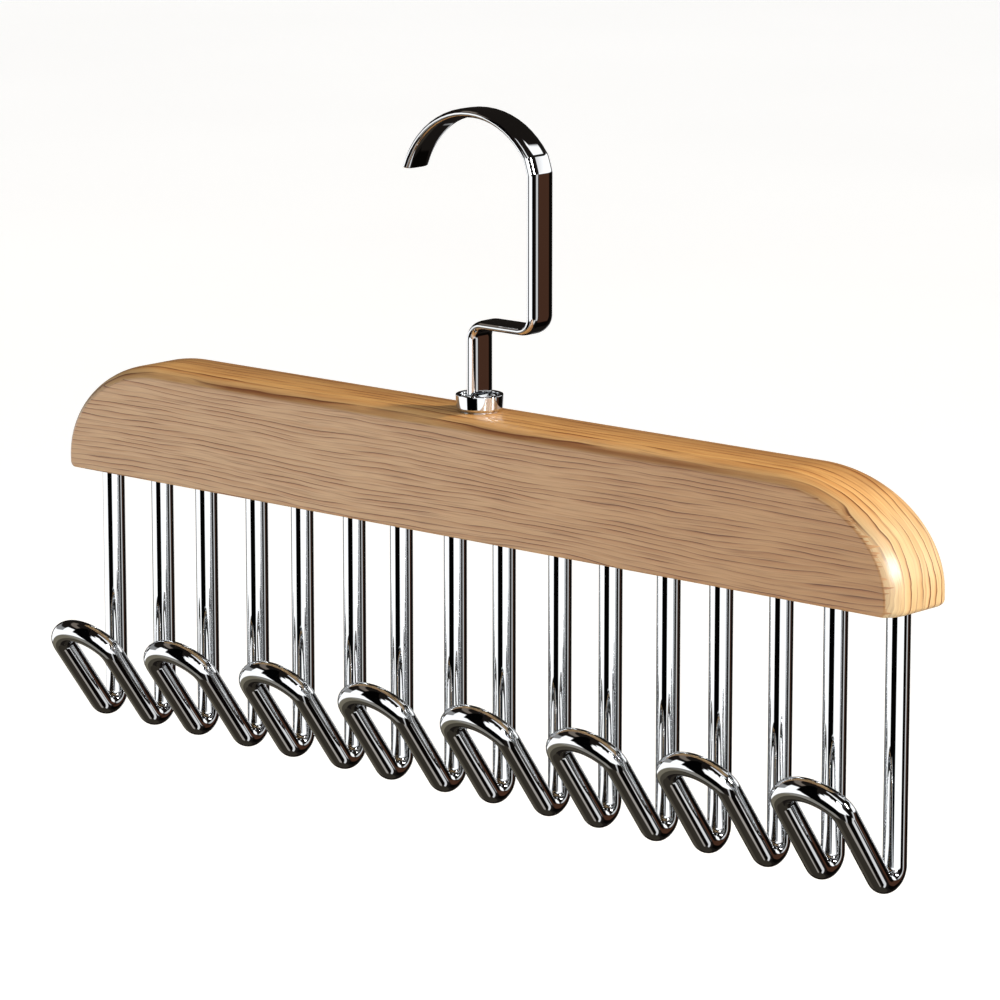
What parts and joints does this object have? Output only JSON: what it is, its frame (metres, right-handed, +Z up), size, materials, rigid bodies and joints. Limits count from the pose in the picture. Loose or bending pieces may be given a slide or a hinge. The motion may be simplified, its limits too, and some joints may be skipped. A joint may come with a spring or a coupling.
{
  "type": "multi-hook hanger",
  "caption": "Wooden bar hanger with a swivelling flat chrome top hook and a row of bent wire hooks under the bar for straps, belts or ties.",
  "frame": {"origin": "the point inside the top of the swivel hook that rests on the clothes rail, straight above the swivel axis", "axes": "+Z up along the swivel axis, +X along the wooden bar, -Y the front, to which the wire hooks open"},
  "size_m": [0.35, 0.0475, 0.221],
  "materials": {
    "lacquered_wood": "satin clear lacquer over straight-grained light wood",
    "polished_chrome": "mirror chrome plate on steel",
    "zinc_steel": "bright zinc plate"
  },
  "bodies": {
    "hook": {"swivel_hook": "polished_chrome", "washer": "zinc_steel", "lock_nut": "zinc_steel"},
    "hanger": {"bar": "lacquered_wood", "collar": "polished_chrome", "wire_hook_1": "polished_chrome", "wire_hook_2": "polished_chrome", "wire_hook_3": "polished_chrome", "wire_hook_4": "polished_chrome", "wire_hook_5": "polished_chrome", "wire_hook_6": "polished_chrome", "wire_hook_7": "polished_chrome", "wire_hook_8": "polished_chrome"}
  },
  "joints": [
    {"name": "hook_swivel", "type": "hinge", "parent": "hook", "child": "hanger", "pos_m": [0, 0, -0.093], "axis": [0, 0, 1], "continuous": true}
  ]
}
